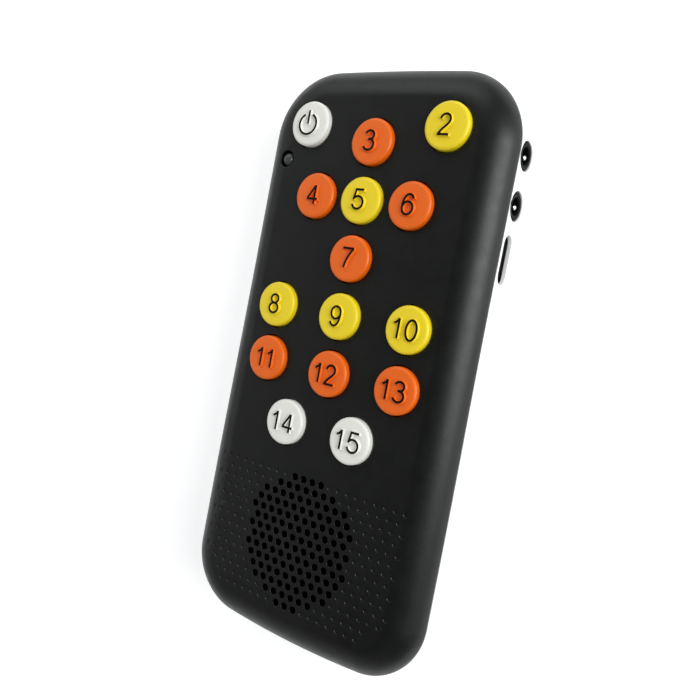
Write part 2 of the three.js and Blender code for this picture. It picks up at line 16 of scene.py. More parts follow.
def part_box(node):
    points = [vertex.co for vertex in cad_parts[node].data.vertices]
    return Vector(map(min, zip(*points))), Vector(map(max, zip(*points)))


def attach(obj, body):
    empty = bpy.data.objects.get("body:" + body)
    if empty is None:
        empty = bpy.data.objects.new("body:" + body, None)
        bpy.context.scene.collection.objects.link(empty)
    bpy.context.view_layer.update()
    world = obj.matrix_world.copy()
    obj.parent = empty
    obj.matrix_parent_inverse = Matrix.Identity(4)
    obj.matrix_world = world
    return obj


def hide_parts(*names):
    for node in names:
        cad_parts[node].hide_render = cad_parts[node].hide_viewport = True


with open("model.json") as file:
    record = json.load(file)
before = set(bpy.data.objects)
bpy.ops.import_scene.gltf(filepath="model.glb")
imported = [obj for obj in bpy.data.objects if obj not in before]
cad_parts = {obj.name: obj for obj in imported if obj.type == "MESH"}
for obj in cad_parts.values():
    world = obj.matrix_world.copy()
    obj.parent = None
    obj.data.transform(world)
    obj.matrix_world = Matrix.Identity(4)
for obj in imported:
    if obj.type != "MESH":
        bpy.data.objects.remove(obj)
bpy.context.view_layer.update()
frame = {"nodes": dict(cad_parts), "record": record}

# ---------------------------------------------------------------- driving dimensions

TO_METRES = 0.001

# Case outline and section
TOP_BOW = 0.7
BOTTOM_BOW = 2.1
TOP_CORNER = 15.0
BOTTOM_CORNER = 12.9
FLARE = 0.48  # how much further out each side stands over the lower half
FLARE_Y = (22, -40)  # where the flare begins, and where it is full
PARTING_Z = 12.0
PARTING_GAP = 0.3
PARTING_ROUND = 0.2
SIDE_WALL = 1.8
BACK_WALL = 1.6
FACE_WALL = 2.35
EDGE_INSET = 7.3
EDGE_POWER = 1.7
BACK_FILLET = 4.0
# Insets of the rings that the cover's outer and inner surfaces are meshed along
EDGE_RINGS = [0, 0.04, 0.12, 0.25, 0.45, 0.75, 1.15, 1.7, 2.4, 3.2, 4.1, 5.1, 6.2, 7.3]
SKIN_RINGS = [1.8, 2.0, 2.6, 3.6, 5.2, 7.8]

# Openings in the face
CAP_GAP = 0.3
KEY_RIM = 0.15
LED_HOLE = 1.9
LED_RIM = 0.3
GRILLE_X = -0.6
GRILLE_TOP_Y = -27.1
HOLE_PITCH = 2.385
HOLE_ROW = 2.18
HOLE_RADIUS = 0.8
HOLE_RIM = 0.12
HOLES_PER_ROW = [4, 7, 10, 11, 12, 11, 12, 11, 12, 11, 10, 9, 6, 3]
DIMPLE_RADIUS = 0.62
# How far each row's dimples go from the grille's middle
DIMPLE_REACH = [25.2] * 11 + [24.0, 21.6, 19.2]
# A dimple's section, from its rim inwards: distance in, depth, slope
DIMPLE_SECTION = [(0, 0, 0), (0.03, 0.015, 1.25), (0.12, 0.1275, 1.25), (0.15, 0.145, 0)]

# Key caps
CAP_RADIUS = 5.05
CAP_EDGE_ACROSS = 0.75
CAP_EDGE_DOWN = 0.6
FLANGE_RADIUS = 5.95
FLANGE = (14.6, 15.3)  # lowest and highest point of a cap's flange
STEM_RADIUS = 2.2
RELIEF = 0.55
DRAFT = 0.25  # how far a numeral's flanks spread down to the cap
PRINT = 0.02
STROKE = 0.5
DIGIT_WIDTHS = {"1": 1.15, "2": 2.4, "5": 2.75, "6": 2.7, "7": 2.7, "9": 2.6}
DIGIT_WIDTH = 2.5  # of the other digits
DIGIT_HEIGHT = 4.15
DIGIT_GAP = 1.3

# Sockets and slide switch
SOCKET_HOLE = 3.1
SOCKET_NOSE = 2.9
SOCKET_BORE = 1.8
SLOT_LENGTH = 10.2
SLOT_WIDTH = 3.9
PLATE_THICK = 1.1
PLATE_HALF = 2.2  # half the knob plate's height
LUG_STAND = 0.25  # how far the knob's thumb lug stands out from its plate
MOUTH_ROUND = 0.25
SIDE_CUT_IN = 1.0  # how far the side openings' cutters run on past the wall, inside and out

# Lip, screw posts, battery bay and door
LIP_HEIGHTS = (11.3, 12.9)
LIP_INSETS = (2.35, 2.9)
POST_RADIUS = 2.4
BOARD_POST_RADIUS = 2.0
BOARD_POST_FOOT = 13.3
PILOT = 1.15
CLEAR_HOLE = 1.25
COUNTERBORE_RADIUS = 2.5
COUNTERBORE_DEPTH = 3.0
PILLAR_RADIUS = 3.6
PILLAR_HEIGHTS = (0.5, 5.2)
REST_RADIUS = 1.5
REST_PLACES = [(20, 22.5), (20, 43.6)]
BAY_HALF_WIDTH = 11.4
BAY_ENDS = (-27.0, 24.4)
BAY_SIDE_WALL = 2.0
BAY_END_WALL = 1.6
BAY_TOP = 9.0
DOOR_HALF_WIDTH = 12.2
DOOR_THICK = 1.3
DOOR_GAP = 0.3
DOOR_CORNER = 1.0
DOOR_PILLAR_RADIUS = 2.6
DOOR_PILLAR_TOP = 6.0
DOOR_HEAD_RADIUS = 2.2
DOOR_HEAD_DEPTH = 0.9
TONGUE_X = (-6, 6)
TONGUE_HALF = 2.0
TONGUE_REACH = 2.2  # how far the door's tongues stand past its plate
TONGUE_HEIGHTS = (1.9, 2.9)
GRIP_BARS = 6
GRIP_PITCH = 1.5
SHANK = 0.95
SCREW_HEADS = {"case_screw": (2.1, 1.3), "board_screw": (1.9, 1), "door_screw": (1.9, 0.7)}

SLOTS = {part["node"]: part["material_slot"] for part in frame["record"]["subparts"]}
KEYS = [node for node in SLOTS if node == "power_button" or node.startswith("button_")]


def box_mm(node):
    """A CAD node's lowest and highest corners, in millimetres."""
    low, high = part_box(node)
    return low / TO_METRES, high / TO_METRES


def centre_mm(node):
    low, high = box_mm(node)
    return (low + high) / 2


COVER_LOW, COVER_HIGH = box_mm("front_cover")
HALF_WIDTH = (COVER_HIGH.x - COVER_LOW.x) / 2 - FLARE
HALF_LENGTH = (COVER_HIGH.y - COVER_LOW.y) / 2
FACE_Z = COVER_HIGH.z
INNER_FACE = FACE_Z - FACE_WALL
FRONT_BOTTOM = PARTING_Z + PARTING_GAP / 2
REAR_TOP = PARTING_Z - PARTING_GAP / 2

# ---------------------------------------------------------------- mesh helpers


def mesh_object(name, points, faces, normals=None):
    """A mesh object from points in millimetres, with an optional normal for each face corner."""
    mesh = bpy.data.meshes.new(name)
    mesh.from_pydata([Vector(p) * TO_METRES for p in points], [], faces)
    mesh.polygons.foreach_set("use_smooth", [True] * len(mesh.polygons))
    mesh.update()
    if normals is not None:
        mesh.normals_split_custom_set(normals)
    made = bpy.data.objects.new(name, mesh)
    bpy.context.scene.collection.objects.link(made)
    return made


def soften(piece, angle=32):
    """Smooth shading that keeps true edges, weighted so that flats stay flat."""
    piece.data.polygons.foreach_set("use_smooth", [True] * len(piece.data.polygons))
    piece.data.set_sharp_from_angle(angle=radians(angle))
    weighted = piece.modifiers.new("weighted", "WEIGHTED_NORMAL")
    weighted.keep_sharp = True
    weighted.weight = 60
    return piece


def applied(piece):
    """Bakes the piece's modifiers into its mesh."""
    graph = bpy.context.evaluated_depsgraph_get()
    mesh = bpy.data.meshes.new_from_object(piece.evaluated_get(graph))
    piece.modifiers.clear()
    piece.data = mesh
    return piece


def combined(piece, others, operation):
    """Joins other solids to the piece, or cuts them from it, and removes them."""
    for other in others:
        step = piece.modifiers.new("combined", "BOOLEAN")
        step.operation = operation
        step.solver = "MANIFOLD"
        step.object = other
        applied(piece)
        bpy.data.objects.remove(other)
    return piece


def bevelled(piece, width, segments=2, angle=40):
    step = piece.modifiers.new("bevelled", "BEVEL")
    step.width = width * TO_METRES
    step.segments = segments
    step.limit_method = "ANGLE"
    step.angle_limit = radians(angle)
    return applied(piece)


def loft(name, rings):
    """A closed solid through rings of equal length, with flat ends."""
    count = len(rings[0])
    points = [p for ring in rings for p in ring]
    faces = [list(reversed(range(count))), list(range(len(points) - count, len(points)))]
    for level in range(len(rings) - 1):
        base = level * count
        for i in range(count):
            j = (i + 1) % count
            faces.append([base + i, base + j, base + count + j, base + count + i])
    return mesh_object(name, points, faces)


def lathe(name, profile, sides=64, centre=(0, 0, 0), axis="Z"):
    """Turns (radius, height) pairs about an axis; both ends lie on it, or the profile closes."""
    points = []
    rows = []
    for radius, height in profile:
        if radius < 1e-6:
            rows.append([len(points)] * sides)
            points.append((0, 0, height))
            continue
        rows.append(list(range(len(points), len(points) + sides)))
        for i in range(sides):
            turn = 2 * pi * i / sides
            points.append((radius * cos(turn), radius * sin(turn), height))
    if profile[0] == profile[-1] and profile[0][0] > 1e-6:
        del points[-sides:]
        rows[-1] = rows[0]
    faces = []
    for low, high in zip(rows, rows[1:]):
        for i in range(sides):
            j = (i + 1) % sides
            corners = [low[i], low[j], high[j], high[i]]
            face = [c for k, c in enumerate(corners) if c != corners[k - 1]]
            if len(face) > 2:
                faces.append(face)
    if axis == "X":
        points = [(z, x, y) for x, y, z in points]
    points = [Vector(p) + Vector(centre) for p in points]
    return mesh_object(name, points, faces)


def arc(cx, cy, rx, ry, start, stop, steps=16):
    """Points on an ellipse's arc, angles in degrees, anticlockwise from +X."""
    turns = [radians(start + (stop - start) * i / steps) for i in range(steps + 1)]
    return [(cx + rx * cos(t), cy + ry * sin(t)) for t in turns]


def block(name, low, high):
    (x0, y0, z0), (x1, y1, z1) = low, high
    flat = [(x0, y0), (x1, y0), (x1, y1), (x0, y1)]
    return loft(name, [[(x, y, z) for x, y in flat] for z in (z0, z1)])


def rounded_slab(name, low, high, corner, edge=0):
    """A slab with round corners in plan, and its lower edge eased by `edge`."""
    (x0, y0, z0), (x1, y1, z1) = low, high

    def ring(inset, z):
        radius = corner - inset
        flat = arc(x1 - corner, y1 - corner, radius, radius, 0, 90, 8)
        flat += arc(x0 + corner, y1 - corner, radius, radius, 90, 180, 8)
        flat += arc(x0 + corner, y0 + corner, radius, radius, 180, 270, 8)
        flat += arc(x1 - corner, y0 + corner, radius, radius, 270, 360, 8)
        return [(x, y, z) for x, y in flat]

    rings = [ring(0, z0), ring(0, z1)]
    if edge:
        turns = [radians(t) for t in (0, 30, 60, 90)]
        rings = [ring(edge * (1 - sin(t)), z0 + edge * (1 - cos(t))) for t in turns] + [ring(0, z1)]
    return loft(name, rings)


# ---------------------------------------------------------------- the case's own form


def end_of(y):
    """Corner radius and bow of the end of the case that a point is nearer to."""
    return (TOP_CORNER, TOP_BOW) if y > 0 else (BOTTOM_CORNER, BOTTOM_BOW)


def stretch_at(x, bow):
    return 1 + bow * (1 - (x / HALF_WIDTH) ** 2) / (HALF_LENGTH - bow)


def flare_at(y):
    """How much wider the case is at Y than at its top; Y is a number or an array."""
    share = np.clip((FLARE_Y[0] - y) / (FLARE_Y[0] - FLARE_Y[1]), 0, 1)
    return 1 + FLARE / HALF_WIDTH * share**2 * (3 - 2 * share)


def outline(inset, corner_steps=22, end_steps=20, side_steps=40):
    """The case outline moved inwards by `inset`, anticlockwise from the right wall's top."""
    flat = []
    for side, end in ((1, 1), (-1, 1), (-1, -1), (1, -1)):
        corner, bow = end_of(end)
        radius = corner - inset
        cx = side * (HALF_WIDTH - corner)
        cy = end * (HALF_LENGTH - bow - corner)
        start = {(1, 1): 0, (-1, 1): 90, (-1, -1): 180, (1, -1): 270}[(side, end)]
        turned = arc(cx, cy, radius, radius, start, start + 90, corner_steps)
        flat += [(x, y * stretch_at(x, bow)) for x, y in turned]
        if side == end:
            level = end * (HALF_LENGTH - bow - inset)
            shares = [1 - 2 * i / end_steps for i in range(1, end_steps)]
            flat += [(cx * s, level * stretch_at(cx * s, bow)) for s in shares]
        else:
            across = side * (HALF_WIDTH - inset)
            next_corner, next_bow = end_of(-end)
            first = cy * stretch_at(across, bow)
            last = -end * (HALF_LENGTH - next_bow - next_corner) * stretch_at(across, next_bow)
            steps = range(1, side_steps)
            flat += [(across, first + (last - first) * i / side_steps) for i in steps]
    return [(float(x * flare_at(y)), y) for x, y in flat]


def inset_at(x, y):
    """How far inside the outline each point lies; x and y are arrays."""
    x = x / flare_at(y)
    top = y > 0
    corner = np.where(top, TOP_CORNER, BOTTOM_CORNER)
    bow = np.where(top, TOP_BOW, BOTTOM_BOW)
    level = y / (1 + bow * (1 - (x / HALF_WIDTH) ** 2) / (HALF_LENGTH - bow))
    qx = np.abs(x) - (HALF_WIDTH - corner)
    qy = np.abs(level) - (HALF_LENGTH - bow - corner)
    beyond = np.hypot(np.maximum(qx, 0), np.maximum(qy, 0))
    return corner - beyond - np.minimum(np.maximum(qx, qy), 0)


def edge_profile(inset, foot, top, start, width):
    """Height and slope of the superelliptic edge that rises from `start` over `width`."""
    away = 1 - np.clip((inset - start) / width, 0, 1)
    rise = 1 - away**EDGE_POWER
    height = foot + (top - foot) * rise ** (1 / EDGE_POWER)
    steep = np.maximum(rise, 1e-9) ** (1 / EDGE_POWER - 1) * away ** (EDGE_POWER - 1)
    return height, np.minimum((top - foot) / width * steep, 1e4)


# ---------------------------------------------------------------- openings and dimples


def grille_places():
    """Centres of the grille's through holes, and of the dimples around them."""
    holes = []
    dimples = []
    for row, count in enumerate(HOLES_PER_ROW):
        y = GRILLE_TOP_Y - row * HOLE_ROW
        shift = 0.5 if count % 2 == 0 else 0
        most = ceil(DIMPLE_REACH[row] / HOLE_PITCH)
        for k in range(-most - 1, most + 1):
            away = (k + shift) * HOLE_PITCH
            if abs(away) < count / 2 * HOLE_PITCH:
                holes.append((GRILLE_X + away, y))
            elif abs(away) <= DIMPLE_REACH[row]:
                dimples.append((GRILLE_X + away, y))
    return holes, dimples


def openings():
    """Every hole in the face as (x, y, radius, rim radius, segments)."""
    made = []
    for name in KEYS:
        at = centre_mm(name)
        made.append((at.x, at.y, CAP_RADIUS + CAP_GAP, KEY_RIM, 72))
    at = centre_mm("indicator_led")
    made.append((at.x, at.y, LED_HOLE, LED_RIM, 32))
    holes, _ = grille_places()
    made += [(x, y, HOLE_RADIUS, HOLE_RIM, 16) for x, y in holes]
    return made


def circle(cx, cy, radius, segments):
    turns = [2 * pi * i / segments for i in range(segments)]
    return [(cx + radius * cos(t), cy + radius * sin(t)) for t in turns]


def face_height(x, y):
    """Height and slope (dz/dx, dz/dy) of the cover's outer surface at arrays of points."""
    step = 1e-3
    inset = inset_at(x, y)
    inset_x = (inset_at(x + step, y) - inset_at(x - step, y)) / (2 * step)
    inset_y = (inset_at(x, y + step) - inset_at(x, y - step)) / (2 * step)
    height, steep = edge_profile(inset, FRONT_BOTTOM + PARTING_ROUND, FACE_Z, 0, EDGE_INSET)
    slope_x = steep * inset_x
    slope_y = steep * inset_y
    for cx, cy, radius, rim, _ in openings():
        away = np.hypot(x - cx, y - cy)
        near = away < radius + rim
        reach = np.clip(radius + rim - away[near], 0, rim)
        drop = np.sqrt(np.maximum(rim**2 - reach**2, 0))
        height[near] -= rim - drop
        steep_rim = np.minimum(reach / np.maximum(drop, rim * 1e-4), 1e4)
        slope_x[near] += steep_rim * (x[near] - cx) / away[near]
        slope_y[near] += steep_rim * (y[near] - cy) / away[near]
    reaches, depths, slopes = zip(*DIMPLE_SECTION)
    for cx, cy in grille_places()[1]:
        away = np.hypot(x - cx, y - cy)
        near = away < DIMPLE_RADIUS
        inward = DIMPLE_RADIUS - away[near]
        height[near] -= np.interp(inward, reaches, depths)
        steep_wall = np.interp(inward, reaches, slopes) / np.maximum(away[near], step)
        slope_x[near] += steep_wall * (x[near] - cx)
        slope_y[near] += steep_wall * (y[near] - cy)
    return height, slope_x, slope_y


def skin_height(x, y):
    """Height of the cover's inner surface."""
    width = EDGE_INSET + 0.5 - SIDE_WALL
    return edge_profile(inset_at(x, y), FRONT_BOTTOM, INNER_FACE, SIDE_WALL, width)[0]


def planned(loops, guides, inner_edge):
    """Triangulates the face in plan, inside loops[0] and outside the other loops.

    Guides are open or closed runs of points that triangle edges follow. Returns the points, the
    triangles, and each loop's point numbers.
    """
    coords = []
    edges = []
    spans = []
    for loop in loops:
        base = len(coords)
        coords += loop
        edges += [(base + i, base + (i + 1) % len(loop)) for i in range(len(loop))]
        spans.append(range(base, base + len(loop)))
    for run in guides:
        base = len(coords)
        coords += run
        edges += [(base + i, base + i + 1) for i in range(len(run) - 1)]
    result = delaunay_2d_cdt([Vector(c) for c in coords], edges, [], 0, 1e-5)
    flat = np.array([tuple(v) for v in result[0]])
    triangles = np.array([list(f) for f in result[2]])
    middle = flat[triangles].mean(axis=1)
    keep = inset_at(middle[:, 0], middle[:, 1]) > inner_edge
    for cx, cy, radius, _, segments in openings():
        away = np.hypot(middle[:, 0] - cx, middle[:, 1] - cy)
        keep &= away > radius * cos(pi / segments)
    where = {}
    for made, originals in enumerate(result[3]):
        for original in originals:
            where[original] = made
    return flat, triangles[keep], [[where[i] for i in span] for span in spans]


def clear_runs(ring):
    """A closed ring as runs that keep clear of every opening."""
    closed = ring + [ring[0]]
    places = openings()
    runs = [[]]
    for a, b in zip(closed, closed[1:]):
        mid = ((a[0] + b[0]) / 2, (a[1] + b[1]) / 2)
        half = hypot(b[0] - a[0], b[1] - a[1]) / 2
        blocked = any(
            hypot(mid[0] - x, mid[1] - y) < radius + rim + half + 0.15
            for x, y, radius, rim, _ in places
        )
        if blocked:
            runs.append([])
            continue
        runs[-1] += [a, b] if not runs[-1] else [b]
    return [run for run in runs if run]


def front_cover():
    places = openings()
    hole_loops = [circle(x, y, radius, n) for x, y, radius, _, n in places]

    guides = []
    for inset in EDGE_RINGS[1:]:
        guides += clear_runs(outline(inset))
    for x, y, radius, rim, n in places:
        for turn in (0, 25, 50, 72):
            ring = circle(x, y, radius + rim * (1 - sin(radians(turn))), n)
            guides.append(ring + [ring[0]])
    for x, y in grille_places()[1]:
        for inward, _, _ in DIMPLE_SECTION:
            ring = circle(x, y, DIMPLE_RADIUS - inward, 16)
            guides.append(ring + [ring[0]])
        guides.append([(x, y)])

    flat, triangles, loops = planned([outline(0), *hole_loops], guides, 0)
    height, slope_x, slope_y = face_height(flat[:, 0], flat[:, 1])
    lean = np.sqrt(slope_x**2 + slope_y**2 + 1)
    up = np.stack([-slope_x / lean, -slope_y / lean, 1 / lean], axis=1)

    skin_guides = []
    for inset in SKIN_RINGS[1:]:
        skin_guides += clear_runs(outline(inset))
    rim_ring = outline(SIDE_WALL)
    skin, skin_triangles, skin_loops = planned([rim_ring, *hole_loops], skin_guides, SIDE_WALL)
    skin_z = skin_height(skin[:, 0], skin[:, 1])

    points = [(x, y, z) for (x, y), z in zip(flat, height)]
    skin_base = len(points)
    points += [(x, y, z) for (x, y), z in zip(skin, skin_z)]
    faces = []
    normals = []

    def add(corners, corner_normals):
        faces.append([int(c) for c in corners])
        normals.extend(corner_normals)

    for triangle in triangles:
        add(triangle, [up[i] for i in triangle])
    for a, b, c in skin_triangles:
        add((skin_base + a, skin_base + c, skin_base + b), [(0, 0, 0)] * 3)

    for (cx, cy, _, _, n), loop, skin_loop in zip(places, loops[1:], skin_loops[1:]):
        for i in range(n):
            j = (i + 1) % n
            corners = (loop[j], loop[i], skin_base + skin_loop[i], skin_base + skin_loop[j])
            towards = [Vector((cx - points[c][0], cy - points[c][1], 0)).normalized() for c in corners]
            add(corners, towards)

    rings = [loops[0]]
    for turn in (30, 60, 90):
        inset = PARTING_ROUND * (1 - cos(radians(turn)))
        z = FRONT_BOTTOM + PARTING_ROUND * (1 - sin(radians(turn)))
        rings.append(list(range(len(points), len(points) + len(rim_ring))))
        points += [(x, y, z) for x, y in outline(inset)]
    rings.append([skin_base + i for i in skin_loops[0]])
    for upper, lower in zip(rings, rings[1:]):
        for i in range(len(upper)):
            j = (i + 1) % len(upper)
            add((upper[i], lower[i], lower[j], upper[j]), [(0, 0, 0)] * 4)

    return mesh_object("front_cover_moulding", points, faces, normals)


def joined(piece, others):
    """Puts other solids into the piece's own mesh, as they are."""
    with bpy.context.temp_override(active_object=piece, selected_editable_objects=[piece, *others]):
        bpy.ops.object.join()
    return piece


def tube(name, place, radius, bore, low, high, sides=28):
    """A moulded screw post: a closed tube that stands along Z."""
    profile = [(bore, low), (bore, high), (radius, high)]
    profile += [(radius, low + 0.2), (radius - 0.2, low), (bore, low)]
    return soften(lathe(name, profile, sides, (*place, 0)))


POSTS = [centre_mm(f"case_screw_{i}").xy for i in range(1, 7)]
BOARD_POSTS = [centre_mm(f"board_screw_{i}").xy for i in range(1, 5)]
DOOR_SCREW = (0, centre_mm("door_screw").y)

# ---------------------------------------------------------------- rear cover


def case_stack(name, levels):
    return loft(name, [[(x, y, z) for x, y in outline(inset)] for inset, z in levels])


def pill_ring(x, half_length, half_width, y, z, steps=14):
    """A pill outline in the plane of the right wall, at a given X."""
    reach = half_length - half_width
    flat = arc(reach, 0, half_width, half_width, -90, 90, steps)
    flat += arc(-reach, 0, half_width, half_width, 90, 270, steps)
    return [(x, y + a, z + b) for a, b in flat]


def side_mouth(x):
    """A mouth's rounded edge in the wall that ends at X, as (place along X, how much wider)."""
    turns = [radians(t) for t in (0, 30, 60, 90)]
    return [(x - MOUTH_ROUND * (1 - sin(t)), MOUTH_ROUND * (1 - cos(t))) for t in turns]


def rear_cover():
    fillet = []
    for step in range(10):
        turn = radians(90 * step / 9)
        fillet.append((BACK_FILLET * (1 - sin(turn)), BACK_FILLET * (1 - cos(turn))))
    rim = []
    for turn in (0, 30, 60, 90):
        share = radians(turn)
        rim.append((PARTING_ROUND * (1 - cos(share)), REAR_TOP - PARTING_ROUND * (1 - sin(share))))
    cover = case_stack("rear_cover_moulding", [*fillet, *rim])
    pocket = case_stack("pocket", [
        (SIDE_WALL + 2.6, BACK_WALL),
        (SIDE_WALL + 0.8, BACK_WALL + 0.8),
        (SIDE_WALL, BACK_WALL + 2.6),
        (SIDE_WALL, REAR_TOP + 1),
    ])
    combined(cover, [pocket], "DIFFERENCE")

    combined(cover, [doorway()], "DIFFERENCE")
    combined(cover, [parting_lip(), *case_pillars(), *bay_walls()], "UNION")
    combined(cover, [*screw_holes(), *side_openings(), *tongue_slots()], "DIFFERENCE")
    return soften(cover, 28)


def parting_lip():
    """The thin rim inside the front cover's edge, cut away beside posts and sockets."""
    foot, top = LIP_HEIGHTS
    outer, inner = LIP_INSETS
    lip = case_stack("lip", [(outer, foot), (outer, top - 0.1), (outer + 0.1, top)])
    root = case_stack("root", [(SIDE_WALL - 0.2, foot), (SIDE_WALL - 0.2, REAR_TOP)])
    combined(lip, [root], "UNION")
    combined(lip, [case_stack("lip_middle", [(inner, 10), (inner, 14)])], "DIFFERENCE")
    room = POST_RADIUS + 0.5
    cuts = []
    for place in POSTS:
        cuts.append(lathe("post_room", [(0, 10), (room, 10), (room, 14), (0, 14)], 32, (*place, 0)))
    board_low, board_high = box_mm("side_board")
    cuts.append(block("socket_room", (HALF_WIDTH - 4, board_low.y, 10),
                      (HALF_WIDTH - SIDE_WALL, board_high.y, 14)))
    return combined(lip, cuts, "DIFFERENCE")


def upright(name, radius, low, high, sides, place):
    """A plain round bar that stands along Z."""
    return lathe(name, [(0, low), (radius, low), (radius, high), (0, high)], sides, (*place, 0))


def case_pillars():
    """Pillars for the case screws, and rests under the side board."""
    made = [upright("pillar", PILLAR_RADIUS, *PILLAR_HEIGHTS, 32, place) for place in POSTS]
    rest_top = box_mm("side_board")[0].z - 0.1
    made += [upright("rest", REST_RADIUS, 1.5, rest_top, 24, place) for place in REST_PLACES]
    return made


def bay_walls():
    """The four walls round the cells, and the pillar for the door's screw."""
    base = box_mm("battery_door")[0].z + 1.5
    inner = BAY_HALF_WIDTH
    outer = BAY_HALF_WIDTH + BAY_SIDE_WALL
    low, high = BAY_ENDS
    low_out = low - BAY_END_WALL
    high_out = high + BAY_END_WALL
    return [
        block("bay_left", (-outer, low_out, base), (-inner, high_out, BAY_TOP)),
        block("bay_right", (inner, low_out, base), (outer, high_out, BAY_TOP)),
        block("bay_bottom", (-outer, low_out, base), (outer, low, BAY_TOP)),
        block("bay_top", (-outer, high, base), (outer, high_out, BAY_TOP)),
        upright("door_pillar", DOOR_PILLAR_RADIUS, base, DOOR_PILLAR_TOP, 32, DOOR_SCREW),
    ]


def doorway():
    low, high = box_mm("battery_door")
    half = DOOR_HALF_WIDTH + DOOR_GAP
    far = high.y - TONGUE_REACH + DOOR_GAP
    return rounded_slab("doorway", (-half, low.y - DOOR_GAP, -1), (half, far, BACK_WALL + 0.1),
                        DOOR_CORNER + DOOR_GAP)


def screw_holes():
    """Stepped holes for the case screws' heads and shanks, and the door screw's pilot."""
    wide, deep = COUNTERBORE_RADIUS, COUNTERBORE_DEPTH
    profile = [(0, -1), (wide + 0.2, -1), (wide + 0.2, 0), (wide, 0.2), (wide, deep)]
    profile += [(CLEAR_HOLE, deep), (CLEAR_HOLE, 6), (0, 6)]
    made = [lathe("screw_hole", profile, 40, (*place, 0)) for place in POSTS]
    made.append(upright("door_pilot", PILOT, 0, 5.8, 24, DOOR_SCREW))
    return made


def side_openings():
    """The socket holes, the slide switch's slot, and the thinned bed behind the slot."""
    inside = HALF_WIDTH - SIDE_WALL - SIDE_CUT_IN
    outside = HALF_WIDTH + SIDE_CUT_IN
    made = []
    for name in ("upper_socket", "lower_socket"):
        at = centre_mm(name)
        profile = [(0, inside), (SOCKET_HOLE, inside)]
        profile += [(SOCKET_HOLE + wide, x) for x, wide in sorted(side_mouth(HALF_WIDTH))]
        profile += [(SOCKET_HOLE + MOUTH_ROUND, outside), (0, outside)]
        made.append(lathe("socket_hole", profile, 64, (0, at.y, at.z), "X"))
    made.append(slot_cutter())
    low, high = box_mm("slide_knob")
    bed_front = high.x - LUG_STAND + 0.2
    made.append(block("knob_bed", (inside, low.y - 0.3, low.z - 0.25),
                      (bed_front, high.y + 2.3, low.z + 2 * PLATE_HALF + 0.25)))
    return made


def tongue_slots():
    """Slots in the bay's end wall that the door's tongues reach through."""
    wide = TONGUE_HALF + 0.3
    wall = BAY_ENDS[1]
    return [block("tongue_slot", (x - wide, wall - 0.5, 1), (x + wide, wall + 2, 3.2)) for x in TONGUE_X]


def slot_cutter():
    """The slide switch's pill-shaped slot, with a rounded mouth."""
    at = centre_mm("slide_switch")
    z = box_mm("slide_knob")[0].z + PLATE_HALF
    inner = HALF_WIDTH - SIDE_WALL - SIDE_CUT_IN
    levels = [(inner, 0), *sorted(side_mouth(HALF_WIDTH)), (HALF_WIDTH + SIDE_CUT_IN, MOUTH_ROUND)]
    rings = [
        pill_ring(x, SLOT_LENGTH / 2 + wide, SLOT_WIDTH / 2 + wide, at.y, z) for x, wide in levels
    ]
    return loft("slot_cutter", rings)


def battery_door():
    low, high = box_mm("battery_door")
    plate_end = high.y - TONGUE_REACH
    door = rounded_slab("battery_door_moulding", (low.x, low.y, 0), (high.x, plate_end, DOOR_THICK),
                        DOOR_CORNER, 0.2)
    tongue_low, tongue_top = TONGUE_HEIGHTS
    parts = []
    for x in TONGUE_X:
        left, right = x - TONGUE_HALF, x + TONGUE_HALF
        parts.append(block("tongue_foot", (left, plate_end - 1.9, DOOR_THICK - 0.2),
                           (right, plate_end - 0.1, tongue_top)))
        parts.append(block("tongue", (left, plate_end - 0.4, tongue_low),
                           (right, plate_end + TONGUE_REACH, tongue_top)))
    combined(door, parts, "UNION")
    wide, deep = DOOR_HEAD_RADIUS, DOOR_HEAD_DEPTH
    profile = [(0, -1), (wide + 0.2, -1), (wide + 0.2, 0), (wide, 0.2), (wide, deep)]
    profile += [(CLEAR_HOLE, deep), (CLEAR_HOLE, 3), (0, 3)]
    cuts = [lathe("door_screw_hole", profile, 40, (*DOOR_SCREW, 0))]
    for i in range(GRIP_BARS):
        y = low.y + 8.5 + GRIP_PITCH * i
        cuts.append(rounded_slab("grip", (-5, y - 0.4, -1), (5, y + 0.4, 0.3), 0.39))
    combined(door, cuts, "DIFFERENCE")
    return soften(door)


# ---------------------------------------------------------------- numerals


def bezier(p0, p1, p2, p3, steps=14):
    made = []
    for i in range(steps + 1):
        t = i / steps
        a, b, c, d = (1 - t) ** 3, 3 * t * (1 - t) ** 2, 3 * t * t * (1 - t), t**3
        made.append((a * p0[0] + b * p1[0] + c * p2[0] + d * p3[0],
                     a * p0[1] + b * p1[1] + c * p2[1] + d * p3[1]))
    return made


